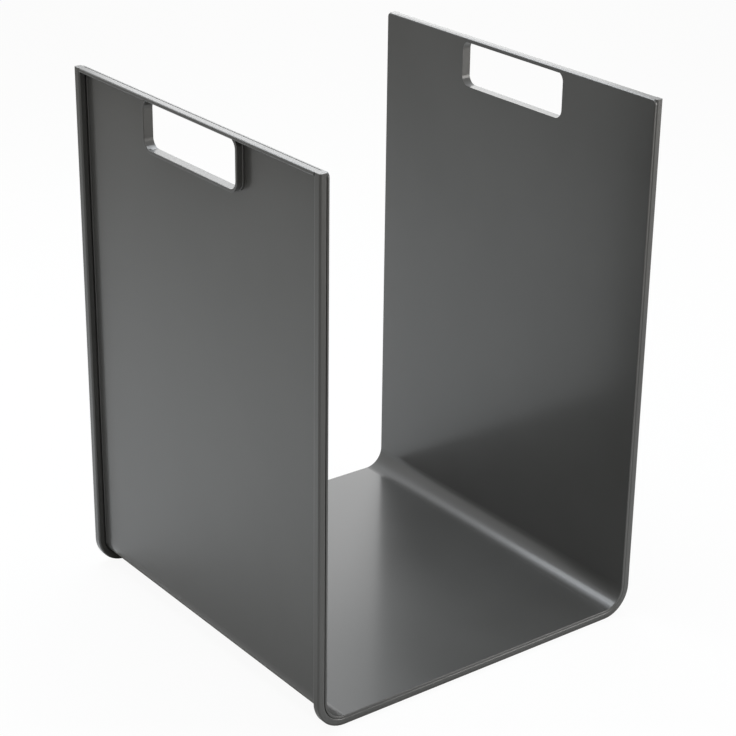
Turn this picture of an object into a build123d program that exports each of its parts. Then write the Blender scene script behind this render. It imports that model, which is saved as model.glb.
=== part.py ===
from build123d import *
import os

# Firewood rack of sheet steel, in millimetres.
# X is the width, from the left wall to the right one. Y is the depth, and the front is at -Y.
# Z is up. The origin lies on the ground, below the middle of the rack.

# Overall sizes
WIDTH = 324.0            # over the bars of both walls
DEPTH = 336.0            # over the front and rear frames
HEIGHT = 450.0           # from the ground to the top of the walls

# Bent sheet
SHEET_THICKNESS = 2.0
SHEET_BEND = 17.0        # inner radius where a wall turns into the floor
SHEET_CORNER = 3.5       # radius of the walls' upper corners
SHEET_EASE = 0.8         # radius of the sheet's inner rim

# Bars, welded to the outer side of the sheet
RIM_REACH = 6.5          # how far each bar stands out from the sheet
FRAME_THICKNESS = 7.5    # bar of the front and rear frames, along Y
FRAME_ROUNDING = 1.6     # rounding of that bar's section
RAIL_THICKNESS = 3.2     # bar along the top of each wall, along Z
RAIL_ROUNDING = 1.0      # rounding of that bar's section

# Hand hole in each wall, right under the top rail
HOLE_LENGTH = 126.0      # along the depth
HOLE_HEIGHT = 38.0       # from the rail down
HOLE_CORNER = 8.0        # radius of its corners
HOLE_TUCK = 1.0          # how far the rounded outline runs up behind the rail
GRIP_THICKNESS = 2.5     # bar that lines the hole
GRIP_EASE = 0.6          # radius of that bar's free edges

# Places that follow from these sizes
SHEET_HALF = WIDTH / 2 - RIM_REACH
FLOOR_UNDERSIDE = RIM_REACH
SHEET_OUTER_BEND = SHEET_BEND + SHEET_THICKNESS
RAIL_UNDERSIDE = HEIGHT - RAIL_THICKNESS

# Places in a sorted list
FIRST = 0
LAST = -1


def trough(half_width, bottom, corner):
    """Filled front view of a trough: square at the top, rounded at both lower corners."""
    outline = Polyline(
        (-half_width, HEIGHT),
        (-half_width, bottom),
        (half_width, bottom),
        (half_width, HEIGHT),
        close=True,
    )
    face = make_face(Plane.XZ * outline)
    lower_corners = face.vertices().group_by(Axis.Z)[FIRST]
    return fillet(lower_corners, corner)


def faces_logs(face):
    """True for the long faces of the sheet that look into the rack."""
    middle = face.center()
    inwards = Vector(0, middle.Y, HEIGHT) - middle
    is_long = face.bounding_box().size.Y > DEPTH / 2
    return is_long and face.normal_at().dot(inwards) > SHEET_THICKNESS


def make_bent_sheet():
    """The bent sheet before its holes are cut, with rounded upper corners and an eased inner rim."""
    outer = trough(SHEET_HALF, FLOOR_UNDERSIDE, SHEET_OUTER_BEND)
    inner = trough(
        SHEET_HALF - SHEET_THICKNESS, FLOOR_UNDERSIDE + SHEET_THICKNESS, SHEET_BEND
    )
    front_view = Pos(0, -DEPTH / 2, 0) * (outer - inner)
    sheet = extrude(front_view, amount=DEPTH, dir=(0, 1, 0))
    upper_corners = sheet.edges().filter_by(Axis.X).group_by(Axis.Z)[LAST]
    sheet = fillet(upper_corners, SHEET_CORNER)
    rim_edges = [
        edge
        for face in sheet.faces().filter_by(faces_logs)
        for edge in face.outer_wire().edges()
        if abs(edge.tangent_at(0.5).Y) < 0.9 or edge.center().Z > HEIGHT / 2
    ]
    return fillet(rim_edges, SHEET_EASE)


def hole_outline(spread):
    """Side view of the hand hole, grown all round by a spread."""
    top = RAIL_UNDERSIDE + HOLE_TUCK
    bottom = RAIL_UNDERSIDE - HOLE_HEIGHT
    rectangle = RectangleRounded(
        HOLE_LENGTH + 2 * spread,
        top - bottom + 2 * spread,
        HOLE_CORNER + spread,
    )
    return Plane.YZ * Pos(0, (top + bottom) / 2) * rectangle


def below_rail(shape):
    """The part of a shape that lies below the underside of the top rail."""
    size = 2 * max(WIDTH, DEPTH, HEIGHT)
    keep = Pos(0, 0, RAIL_UNDERSIDE - size / 2) * Box(size, size, size)
    return shape & keep


def hole_cutter(side):
    """Block that cuts one hand hole. The side is -1 for the left wall and 1 for the right one."""
    reach = SHEET_HALF + SHEET_THICKNESS
    block = extrude(hole_outline(0), amount=reach, dir=(side, 0, 0))
    return below_rail(block)


def make_body_sheet():
    """One sheet, bent into the left wall, the floor and the right wall, with both hand holes."""
    return make_bent_sheet() - hole_cutter(-1) - hole_cutter(1)


def make_frame(middle_y):
    """Square bar with rounded edges, bent round the sheet and cut flat at the top of each wall."""
    half_bar = RIM_REACH / 2
    middle_x = SHEET_HALF + half_bar
    middle_z = FLOOR_UNDERSIDE - half_bar
    path = FilletPolyline(
        (-middle_x, middle_y, HEIGHT),
        (-middle_x, middle_y, middle_z),
        (middle_x, middle_y, middle_z),
        (middle_x, middle_y, HEIGHT),
        radius=SHEET_OUTER_BEND + half_bar,
    )
    start = Plane(origin=path @ 0, x_dir=(1, 0, 0), z_dir=path % 0)
    section = RectangleRounded(RIM_REACH, FRAME_THICKNESS, FRAME_ROUNDING)
    return sweep(start * section, path)


def make_top_rail(side):
    """Flat bar with rounded edges along the top of one wall, between the two frames."""
    length = DEPTH - 2 * FRAME_THICKNESS
    section = RectangleRounded(RIM_REACH, RAIL_THICKNESS, RAIL_ROUNDING)
    middle_x = side * (SHEET_HALF + RIM_REACH / 2)
    middle_z = HEIGHT - RAIL_THICKNESS / 2
    placed = Pos(middle_x, -length / 2, middle_z) * (Plane.XZ * section)
    return extrude(placed, amount=length, dir=(0, 1, 0))


def make_grip_rim(side):
    """Flat bar that lines one hand hole on the outer side of the wall and ends under the rail."""
    ring = hole_outline(GRIP_THICKNESS) - hole_outline(0)
    placed = Pos(side * SHEET_HALF, 0, 0) * ring
    rim = extrude(placed, amount=RIM_REACH, dir=(side, 0, 0))
    free_face = rim.faces().sort_by(Axis.X)[LAST if side > 0 else FIRST]
    rim = fillet(free_face.edges(), GRIP_EASE)
    return below_rail(rim)


def main():
    """Builds each piece and writes it as its own file."""
    frame_y = (DEPTH - FRAME_THICKNESS) / 2
    pieces = {
        "body_sheet": make_body_sheet(),
        "front_frame": make_frame(-frame_y),
        "rear_frame": make_frame(frame_y),
        "left_top_rail": make_top_rail(-1),
        "right_top_rail": make_top_rail(1),
        "left_grip_rim": make_grip_rim(-1),
        "right_grip_rim": make_grip_rim(1),
    }
    os.makedirs("parts", exist_ok=True)
    for name, piece in pieces.items():
        piece.label = name
        export_step(piece, f"parts/{name}.step")


main()
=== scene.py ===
"""Looks of a sheet-steel firewood rack: powder coat, weld seams, studio and camera."""
import logging
import math
from dataclasses import dataclass, field
from enum import Enum

import bmesh
import bpy
from mathutils import Matrix, Vector


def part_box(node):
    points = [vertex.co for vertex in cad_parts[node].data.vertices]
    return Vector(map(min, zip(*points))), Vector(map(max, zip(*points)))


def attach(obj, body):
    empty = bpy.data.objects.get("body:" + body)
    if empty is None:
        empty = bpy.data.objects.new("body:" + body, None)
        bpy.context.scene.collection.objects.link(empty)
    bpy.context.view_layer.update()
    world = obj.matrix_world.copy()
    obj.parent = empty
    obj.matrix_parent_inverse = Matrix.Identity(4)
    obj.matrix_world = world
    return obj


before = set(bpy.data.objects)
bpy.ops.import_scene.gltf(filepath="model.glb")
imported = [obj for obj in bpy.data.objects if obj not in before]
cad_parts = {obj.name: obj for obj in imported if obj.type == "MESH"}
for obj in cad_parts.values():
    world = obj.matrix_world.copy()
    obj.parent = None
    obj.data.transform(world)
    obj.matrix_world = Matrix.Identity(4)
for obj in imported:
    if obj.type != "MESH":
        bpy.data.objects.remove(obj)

logging.basicConfig(level=logging.INFO, format="%(message)s")
LOG = logging.getLogger("firewood_rack")

Colour = tuple[float, float, float]

BODY = "root"
COAT_SLOT = "black_powder_coat"
PHOTO_SIDE_PX = 736
SENSOR_MM = 36.0
UPWARDS = Vector((0.0, 0.0, 1.0))
NOISE_MIDDLE = 0.5

WHITE = (1.0, 1.0, 1.0)
WARM_WHITE = (1.0, 0.98, 0.95)
COOL_WHITE = (0.90, 0.95, 1.0)

# A Mix node has several sockets of one name, so these are found by number
MIX_SHARE = 0
MIX_FIRST_COLOUR = 6
MIX_SECOND_COLOUR = 7
MIX_COLOUR_RESULT = 2

# The two shaders that a Mix Shader node mixes share one name too
SHADER_SHARE = 0
FIRST_SHADER = 1
SECOND_SHADER = 2


class Side(Enum):
    """The two walls of the rack."""

    LEFT = -1
    RIGHT = 1


class End(Enum):
    """The two open ends of the rack."""

    FRONT = -1
    REAR = 1


class Value:
    """A number socket of a node tree, on which Python arithmetic adds Math nodes."""

    def __init__(self, tree: "NodeBuilder", socket: bpy.types.NodeSocket) -> None:
        """Keeps the tree and the socket."""
        self.tree = tree
        self.socket = socket

    def _math(self, operation: str, first: object, second: object) -> "Value":
        """Adds one Math node.

        Args:
            operation: The Math node's operation.
            first: A Value or a number.
            second: A Value or a number.

        Returns:
            The node's result.
        """
        node = self.tree.node("ShaderNodeMath", {"operation": operation}, {0: first, 1: second})
        return self.tree.value(node, "Value")

    def __add__(self, other: object) -> "Value":
        """Sum."""
        return self._math("ADD", self, other)

    def __radd__(self, other: object) -> "Value":
        """Sum with a number on the left."""
        return self._math("ADD", other, self)

    def __sub__(self, other: object) -> "Value":
        """Difference."""
        return self._math("SUBTRACT", self, other)

    def __rsub__(self, other: object) -> "Value":
        """Difference with a number on the left."""
        return self._math("SUBTRACT", other, self)

    def __mul__(self, other: object) -> "Value":
        """Product."""
        return self._math("MULTIPLY", self, other)

    def __rmul__(self, other: object) -> "Value":
        """Product with a number on the left."""
        return self._math("MULTIPLY", other, self)

    def at_least(self, limit: object) -> "Value":
        """The larger of this and a limit."""
        return self._math("MAXIMUM", self, limit)


class NodeBuilder:
    """Fills the node tree of a material, the world or a sweep by short calls."""

    def __init__(self, tree: bpy.types.NodeTree) -> None:
        """Empties the tree."""
        tree.nodes.clear()
        self.tree = tree

    def node(
        self,
        kind: str,
        settings: dict[str, object] | None = None,
        inputs: dict[str | int, object] | None = None,
    ) -> bpy.types.Node:
        """Adds one node.

        Args:
            kind: The node's type name.
            settings: Properties that are set first.
            inputs: Numbers, Value objects or output sockets by input name or number.

        Returns:
            The new node.
        """
        made = self.tree.nodes.new(kind)
        for name, value in (settings or {}).items():
            setattr(made, name, value)
        for name, value in (inputs or {}).items():
            target = made.inputs[name]
            source = value.socket if isinstance(value, Value) else value
            if isinstance(source, bpy.types.NodeSocket):
                self.tree.links.new(source, target)
            else:
                target.default_value = source
        return made

    def value(self, node: bpy.types.Node, output: str) -> Value:
        """One output of a node as a number for arithmetic."""
        return Value(self, node.outputs[output])

    def noise(self, coordinates: bpy.types.NodeSocket, scale: float, detail: float) -> Value:
        """A noise pattern.

        Args:
            coordinates: The vector that it follows.
            scale: Its count of features per metre.
            detail: Its number of finer layers.

        Returns:
            The noise, from 0 to 1.
        """
        made = self.node(
            "ShaderNodeTexNoise", None, {"Vector": coordinates, "Scale": scale, "Detail": detail}
        )
        return self.value(made, "Fac")

    def ramp(self, value: Value, low: float, high: float, top: float) -> Value:
        """A smooth step of a value, from 0 up.

        Args:
            value: The number to map.
            low: Where the step starts.
            high: Where the step ends.
            top: The result at and above the end.

        Returns:
            The mapped number.
        """
        made = self.node(
            "ShaderNodeMapRange",
            {"interpolation_type": "SMOOTHSTEP"},
            {"Value": value, "From Min": low, "From Max": high, "To Min": 0.0, "To Max": top},
        )
        return self.value(made, "Result")

    def mix_colour(self, share: Value, first: Colour, second: Colour) -> bpy.types.NodeSocket:
        """A colour between two others.

        Args:
            share: How much of the second colour it has, from 0 to 1.
            first: The colour at 0.
            second: The colour at 1.

        Returns:
            The mixed colour.
        """
        made = self.node(
            "ShaderNodeMix",
            {"data_type": "RGBA"},
            {MIX_SHARE: share, MIX_FIRST_COLOUR: (*first, 1.0), MIX_SECOND_COLOUR: (*second, 1.0)},
        )
        return made.outputs[MIX_COLOUR_RESULT]


@dataclass(frozen=True)
class PowderCoat:
    """Satin black powder coat with a fine orange peel and a thin clear gloss, on every piece."""

    name: str = COAT_SLOT
    dark_colour: Colour = (0.044, 0.044, 0.042)
    light_colour: Colour = (0.056, 0.056, 0.054)
    gloss_weight: float = 0.6
    gloss_roughness: float = 0.16
    specular_level: float = 0.5
    roughness: float = 0.40
    cloud_roughness: float = 0.10
    grain_roughness: float = 0.06
    peel_per_metre: float = 620.0
    peel_detail: float = 2.0
    peel_share: float = 0.75
    grain_per_metre: float = 2600.0
    grain_detail: float = 1.0
    cloud_per_metre: float = 7.0
    cloud_detail: float = 3.0
    cloud_low: float = 0.32
    cloud_high: float = 0.68
    cloud_share: float = 0.8
    relief_m: float = 0.00010
    relief_strength: float = 0.16

    def build(self) -> bpy.types.Material:
        """Makes the material.

        Returns:
            The finished material.
        """
        material = bpy.data.materials.new(self.name)
        material.use_nodes = True
        tree = NodeBuilder(material.node_tree)
        place = tree.node("ShaderNodeTexCoord").outputs["Object"]
        peel = tree.noise(place, self.peel_per_metre, self.peel_detail)
        grain = tree.noise(place, self.grain_per_metre, self.grain_detail)
        cloud = tree.noise(place, self.cloud_per_metre, self.cloud_detail)
        height = peel * self.peel_share + grain * (1.0 - self.peel_share)
        cloud_tone = tree.ramp(cloud, self.cloud_low, self.cloud_high, self.cloud_share)
        tone = cloud_tone + grain * (1.0 - self.cloud_share)
        roughness = (
            self.roughness
            + (cloud - NOISE_MIDDLE) * self.cloud_roughness
            + (grain - NOISE_MIDDLE) * self.grain_roughness
        )
        bump = tree.node(
            "ShaderNodeBump",
            None,
            {"Strength": self.relief_strength, "Distance": self.relief_m, "Height": height},
        )
        shader = tree.node(
            "ShaderNodeBsdfPrincipled",
            None,
            {
                "Base Color": tree.mix_colour(tone, self.dark_colour, self.light_colour),
                "Roughness": roughness,
                "Normal": bump.outputs["Normal"],
                "Specular IOR Level": self.specular_level,
                "Coat Weight": self.gloss_weight,
                "Coat Roughness": self.gloss_roughness,
            },
        )
        tree.node("ShaderNodeOutputMaterial", None, {"Surface": shader.outputs["BSDF"]})
        return material


@dataclass(frozen=True)
class SeamSpec:
    """One weld seam: the line it follows and the two faces it joins.

    Attributes:
        name: The seam's name.
        points: The corners of its line.
        corner_radius: The radius at which the line turns at its corners.
        first_leg: The direction in which the fillet's first leg lies, square to the line.
        turned: Whether the second leg lies on the other side of the line.
    """

    name: str
    points: tuple[Vector, ...]
    corner_radius: float
    first_leg: Vector
    turned: bool


@dataclass
class WeldSeams:
    """Small smooth fillets of weld under the coat, where the bars meet the outer side of the sheet.

    Attributes:
        leg: How far the fillet reaches along each face, in metres.
        throat_share: How far its hollow lies from the corner along each face, as a share of the leg.
        sink: How deep its corner is sunk into both faces, in metres.
        corner_steps: The number of steps round each turn of its line.
        sheet_bend: The outer radius of the sheet's bends, in metres.
        grip_bend: The outer radius of the grip rims' corners, in metres.
        tree: The node tree that sweeps the seams.
    """

    leg: float = 0.0020
    throat_share: float = 0.36
    sink: float = 0.00012
    corner_steps: int = 14
    sheet_bend: float = 0.019
    grip_bend: float = 0.0105
    tree: bpy.types.NodeTree | None = field(default=None, init=False)

    def build(self, material: bpy.types.Material) -> list[bpy.types.Object]:
        """Makes every seam of the rack.

        Args:
            material: The coat that covers the seams.

        Returns:
            The seams' objects: one for each frame, two for each rail and one for each grip rim.
        """
        self.tree = self._make_tree()
        specs = [self._frame_seam(end) for end in End]
        for side in Side:
            specs += self._rail_seams(side)
            specs.append(self._grip_seam(side))
        return [self._make_seam(spec, material) for spec in specs]

    def _frame_seam(self, end: End) -> SeamSpec:
        """Plans the seam between one frame and the sheet, from one rail round to the other.

        Args:
            end: The end that the frame stands at.

        Returns:
            The seam's line and faces.
        """
        node = f"{end.name.lower()}_frame"
        sheet_low, sheet_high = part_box("body_sheet")
        frame_low, frame_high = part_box(node)
        rail_low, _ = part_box("left_top_rail")
        y = frame_high.y if end is End.FRONT else frame_low.y
        points = (
            Vector((sheet_low.x, y, rail_low.z)),
            Vector((sheet_low.x, y, sheet_low.z)),
            Vector((sheet_high.x, y, sheet_low.z)),
            Vector((sheet_high.x, y, rail_low.z)),
        )
        inwards = Vector((0.0, -end.value, 0.0))
        return SeamSpec(f"{node}_weld", points, self.sheet_bend, inwards, end is End.REAR)

    def _rail_seams(self, side: Side) -> list[SeamSpec]:
        """Plans the two seams under one top rail, in front of and behind the hand hole.

        Args:
            side: The wall that the rail lies on.

        Returns:
            The lines and faces of both seams.
        """
        name = side.name.lower()
        rail_low, rail_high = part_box(f"{name}_top_rail")
        grip_low, grip_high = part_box(f"{name}_grip_rim")
        x = rail_high.x if side is Side.LEFT else rail_low.x
        outwards = Vector((side.value, 0.0, 0.0))
        stretches = {"front": (rail_low.y, grip_low.y), "rear": (grip_high.y, rail_high.y)}
        return [
            SeamSpec(
                f"{name}_top_rail_{end}_weld",
                (Vector((x, start, rail_low.z)), Vector((x, stop, rail_low.z))),
                0.0,
                outwards,
                side is Side.RIGHT,
            )
            for end, (start, stop) in stretches.items()
        ]

    def _grip_seam(self, side: Side) -> SeamSpec:
        """Plans the seam round the outside of one grip rim.

        Args:
            side: The wall that the rim lies on.

        Returns:
            The seam's line and faces.
        """
        name = side.name.lower()
        low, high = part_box(f"{name}_grip_rim")
        x = high.x if side is Side.LEFT else low.x
        points = (
            Vector((x, low.y, high.z)),
            Vector((x, low.y, low.z)),
            Vector((x, high.y, low.z)),
            Vector((x, high.y, high.z)),
        )
        outwards = Vector((side.value, 0.0, 0.0))
        return SeamSpec(f"{name}_grip_rim_weld", points, self.grip_bend, outwards, side is Side.RIGHT)

    def _make_tree(self) -> bpy.types.NodeTree:
        """Makes the node tree that sweeps a fillet along a line of edges.

        Returns:
            The tree, with its sizes as named inputs.
        """
        tree = bpy.data.node_groups.new("weld_fillet", "GeometryNodeTree")
        sockets = {
            "Geometry": "NodeSocketGeometry",
            "Leg": "NodeSocketFloat",
            "Throat": "NodeSocketFloat",
            "Sink": "NodeSocketFloat",
            "Corner Radius": "NodeSocketFloat",
            "Corner Steps": "NodeSocketInt",
            "First Leg": "NodeSocketVector",
            "Turn": "NodeSocketFloat",
            "Material": "NodeSocketMaterial",
        }
        for name, kind in sockets.items():
            tree.interface.new_socket(name, in_out="INPUT", socket_type=kind)
        tree.interface.new_socket("Geometry", in_out="OUTPUT", socket_type="NodeSocketGeometry")
        builder = NodeBuilder(tree)
        given = builder.node("NodeGroupInput")
        path = builder.node("GeometryNodeMeshToCurve", None, {"Mesh": given.outputs["Geometry"]})
        rounded = builder.node(
            "GeometryNodeFilletCurve",
            {"mode": "POLY"},
            {
                "Curve": path.outputs["Curve"],
                "Count": given.outputs["Corner Steps"],
                "Radius": given.outputs["Corner Radius"],
                "Limit Radius": True,
            },
        )
        aimed = builder.node(
            "GeometryNodeSetCurveNormal",
            {"mode": "FREE"},
            {"Curve": rounded.outputs["Curve"], "Normal": given.outputs["First Leg"]},
        )
        section = self._make_section(builder, given)
        swept = builder.node(
            "GeometryNodeCurveToMesh",
            None,
            {"Curve": aimed.outputs["Curve"], "Profile Curve": section, "Fill Caps": True},
        )
        real = builder.node("GeometryNodeRealizeInstances", None, {"Geometry": swept.outputs["Mesh"]})
        coated = builder.node(
            "GeometryNodeSetMaterial",
            None,
            {"Geometry": real.outputs["Geometry"], "Material": given.outputs["Material"]},
        )
        builder.node("NodeGroupOutput", None, {"Geometry": coated.outputs["Geometry"]})
        return tree

    def _make_section(self, builder: NodeBuilder, given: bpy.types.Node) -> bpy.types.NodeSocket:
        """Adds the fillet's section: two legs from a corner that is sunk into both faces, and a hollow.

        Args:
            builder: The tree that it goes into.
            given: The node that holds the tree's inputs.

        Returns:
            The section's closed curve.
        """
        leg, throat, sink, turn = (
            builder.value(given, name) for name in ("Leg", "Throat", "Sink", "Turn")
        )
        sunk = sink * -1.0
        corners = ((sunk, sunk), (leg, sunk), (throat, throat), (sunk, leg))
        points = {
            f"Point {number}": builder.node(
                "ShaderNodeCombineXYZ", None, {"X": along, "Y": up * turn}
            ).outputs["Vector"]
            for number, (along, up) in enumerate(corners, start=1)
        }
        section = builder.node("GeometryNodeCurvePrimitiveQuadrilateral", {"mode": "POINTS"}, points)
        return section.outputs["Curve"]

    def _make_seam(self, spec: SeamSpec, material: bpy.types.Material) -> bpy.types.Object:
        """Sweeps one seam and turns it into a plain mesh.

        Args:
            spec: The seam's line and faces.
            material: The coat that covers it.

        Returns:
            The seam's object.
        """
        line = bpy.data.meshes.new(f"{spec.name}_line")
        edges = [(start, start + 1) for start in range(len(spec.points) - 1)]
        line.from_pydata([tuple(point) for point in spec.points], edges, [])
        carrier = bpy.data.objects.new(f"{spec.name}_line", line)
        bpy.context.scene.collection.objects.link(carrier)
        self._add_sweep(carrier, spec, material)
        bpy.context.view_layer.update()
        evaluated = carrier.evaluated_get(bpy.context.evaluated_depsgraph_get())
        mesh = bpy.data.meshes.new_from_object(evaluated)
        bpy.data.objects.remove(carrier)
        smooth_outwards(mesh)
        seam = bpy.data.objects.new(spec.name, mesh)
        bpy.context.scene.collection.objects.link(seam)
        return seam

    def _add_sweep(
        self, carrier: bpy.types.Object, spec: SeamSpec, material: bpy.types.Material
    ) -> None:
        """Puts the sweep on the object that carries a seam's line, and sets its sizes.

        Args:
            carrier: The object that holds the line.
            spec: The seam's line and faces.
            material: The coat that covers it.
        """
        values = {
            "Leg": self.leg,
            "Throat": self.leg * self.throat_share,
            "Sink": self.sink,
            "Corner Radius": spec.corner_radius,
            "Corner Steps": self.corner_steps,
            "First Leg": spec.first_leg,
            "Turn": -1.0 if spec.turned else 1.0,
            "Material": material,
        }
        sweep = carrier.modifiers.new("sweep", "NODES")
        sweep.node_group = self.tree
        for item in self.tree.interface.items_tree:
            if item.in_out == "INPUT" and item.name in values:
                sweep[item.identifier] = values[item.name]


def smooth_outwards(mesh: bpy.types.Mesh) -> None:
    """Points a closed mesh's faces outwards and shades them smooth.

    Args:
        mesh: The mesh to change.
    """
    shape = bmesh.new()
    shape.from_mesh(mesh)
    bmesh.ops.recalc_face_normals(shape, faces=shape.faces)
    for face in shape.faces:
        face.smooth = True
    shape.to_mesh(mesh)
    shape.free()


@dataclass
class Rack:
    """The rack itself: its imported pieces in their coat, and the weld seams that join them."""

    coat: PowderCoat = field(default_factory=PowderCoat)
    seams: WeldSeams = field(default_factory=WeldSeams)

    def build(self) -> None:
        """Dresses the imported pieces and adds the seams."""
        material = self.coat.build()
        for name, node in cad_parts.items():
            node.data.materials.clear()
            node.data.materials.append(material)
            LOG.info("coated %s", name)
        for seam in self.seams.build(material):
            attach(seam, BODY)
            LOG.info("welded %s, %d faces", seam.name, len(seam.data.polygons))


@dataclass(frozen=True)
class Lamp:
    """A square area lamp that the camera doesn't see.

    Attributes:
        name: The lamp's name.
        place: Where it hangs, in metres.
        side: The length of its sides, in metres.
        power: Its power in watts.
        colour: The tint of its light.
    """

    name: str
    place: tuple[float, float, float]
    side: float
    power: float
    colour: Colour = WHITE

    def hang(self, target: Vector) -> None:
        """Adds the lamp to the scene.

        Args:
            target: The point that it faces.
        """
        light = bpy.data.lights.new(self.name, "AREA")
        light.shape = "SQUARE"
        light.size = self.side
        light.energy = self.power
        light.color = self.colour
        lamp = bpy.data.objects.new(self.name, light)
        lamp.location = self.place
        lamp.visible_camera = False
        lamp.rotation_mode = "QUATERNION"
        lamp.rotation_quaternion = (target - Vector(self.place)).to_track_quat("-Z", "Y")
        bpy.context.scene.collection.objects.link(lamp)


@dataclass
class Studio:
    """A plain pale floor, a world that is white to the eye, and soft lamps."""

    floor_side: float = 16.0
    floor_colour: Colour = (0.86, 0.86, 0.86)
    floor_glow_share: float = 0.94
    world_light: float = 0.24
    world_light_colour: Colour = (1.0, 0.94, 0.82)
    lamp_target: tuple[float, float, float] = (0.0, 0.0, 0.2)
    lamps: tuple[Lamp, ...] = (
        Lamp("top_lamp", place=(0.05, 0.40, 1.45), side=1.3, power=26.0, colour=COOL_WHITE),
        Lamp("key_lamp", place=(-1.9, -1.3, 2.3), side=1.6, power=7.0, colour=WARM_WHITE),
        Lamp("back_lamp", place=(1.65, 2.2, 0.98), side=1.1, power=6.0),
        Lamp("front_lamp", place=(1.5, -1.7, 0.50), side=0.9, power=15.0, colour=WARM_WHITE),
    )

    def build(self) -> None:
        """Makes the floor, the world and the lamps."""
        self._make_floor()
        self._make_world()
        for lamp in self.lamps:
            lamp.hang(Vector(self.lamp_target))
        LOG.info("studio ready")

    def _make_floor(self) -> None:
        """Makes the floor: almost white to the eye, with a faint shadow, and matt under the lamps."""
        half = self.floor_side / 2
        mesh = bpy.data.meshes.new("studio_floor")
        corners = [(-half, -half, 0.0), (half, -half, 0.0), (half, half, 0.0), (-half, half, 0.0)]
        mesh.from_pydata(corners, [], [(0, 1, 2, 3)])
        floor = bpy.data.objects.new("studio_floor", mesh)
        bpy.context.scene.collection.objects.link(floor)
        material = bpy.data.materials.new("studio_floor")
        material.use_nodes = True
        tree = NodeBuilder(material.node_tree)
        ray = tree.node("ShaderNodeLightPath")
        seen = tree.value(ray, "Is Camera Ray")
        glow = tree.node("ShaderNodeEmission", None, {"Color": (*WHITE, 1.0), "Strength": 1.0})
        matt = tree.node("ShaderNodeBsdfDiffuse", None, {"Color": (*self.floor_colour, 1.0)})
        mixed = tree.node(
            "ShaderNodeMixShader",
            None,
            {
                SHADER_SHARE: seen * self.floor_glow_share,
                FIRST_SHADER: matt.outputs["BSDF"],
                SECOND_SHADER: glow.outputs["Emission"],
            },
        )
        tree.node("ShaderNodeOutputMaterial", None, {"Surface": mixed.outputs["Shader"]})
        mesh.materials.append(material)

    def _make_world(self) -> None:
        """Makes the world: white to the eye and in reflections, and softer as a light."""
        world = bpy.data.worlds.new("studio")
        world.use_nodes = True
        bpy.context.scene.world = world
        tree = NodeBuilder(world.node_tree)
        ray = tree.node("ShaderNodeLightPath")
        seen = tree.value(ray, "Is Camera Ray").at_least(tree.value(ray, "Is Glossy Ray"))
        seen = seen.at_least(tree.value(ray, "Is Transmission Ray"))
        light = tree.node(
            "ShaderNodeBackground",
            None,
            {
                "Color": tree.mix_colour(seen, self.world_light_colour, WHITE),
                "Strength": self.world_light + seen * (1.0 - self.world_light),
            },
        )
        tree.node("ShaderNodeOutputWorld", None, {"Surface": light.outputs["Background"]})


@dataclass(frozen=True)
class PhotoCamera:
    """The photograph's viewpoint: in front of the rack, to its left and above."""

    place: tuple[float, float, float] = (-0.9530, -1.2646, 0.8946)
    heading_deg: float = 37.259
    pitch_deg: float = -23.488
    roll_deg: float = 0.76
    focal_px: float = 2085.1

    def build(self) -> None:
        """Makes the camera and sets it as the scene's own."""
        heading, pitch, roll = (
            math.radians(angle) for angle in (self.heading_deg, self.pitch_deg, self.roll_deg)
        )
        forward = Vector(
            (math.cos(pitch) * math.sin(heading), math.cos(pitch) * math.cos(heading), math.sin(pitch))
        )
        level = forward.cross(UPWARDS).normalized()
        upright = level.cross(forward)
        right = level * math.cos(roll) + upright * math.sin(roll)
        up = upright * math.cos(roll) - level * math.sin(roll)
        data = bpy.data.cameras.new("photo_camera")
        data.sensor_width = SENSOR_MM
        data.lens = self.focal_px / PHOTO_SIDE_PX * SENSOR_MM
        camera = bpy.data.objects.new("photo_camera", data)
        turn = Matrix((right, up, -forward)).transposed().to_4x4()
        camera.matrix_world = Matrix.Translation(Vector(self.place)) @ turn
        bpy.context.scene.collection.objects.link(camera)
        bpy.context.scene.camera = camera
        LOG.info("camera ready")


def main() -> None:
    """Builds the rack, the studio and the camera in order."""
    bpy.context.scene.view_settings.view_transform = "Standard"
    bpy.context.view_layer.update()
    Rack().build()
    Studio().build()
    PhotoCamera().build()


if __name__ == "__main__":
    main()
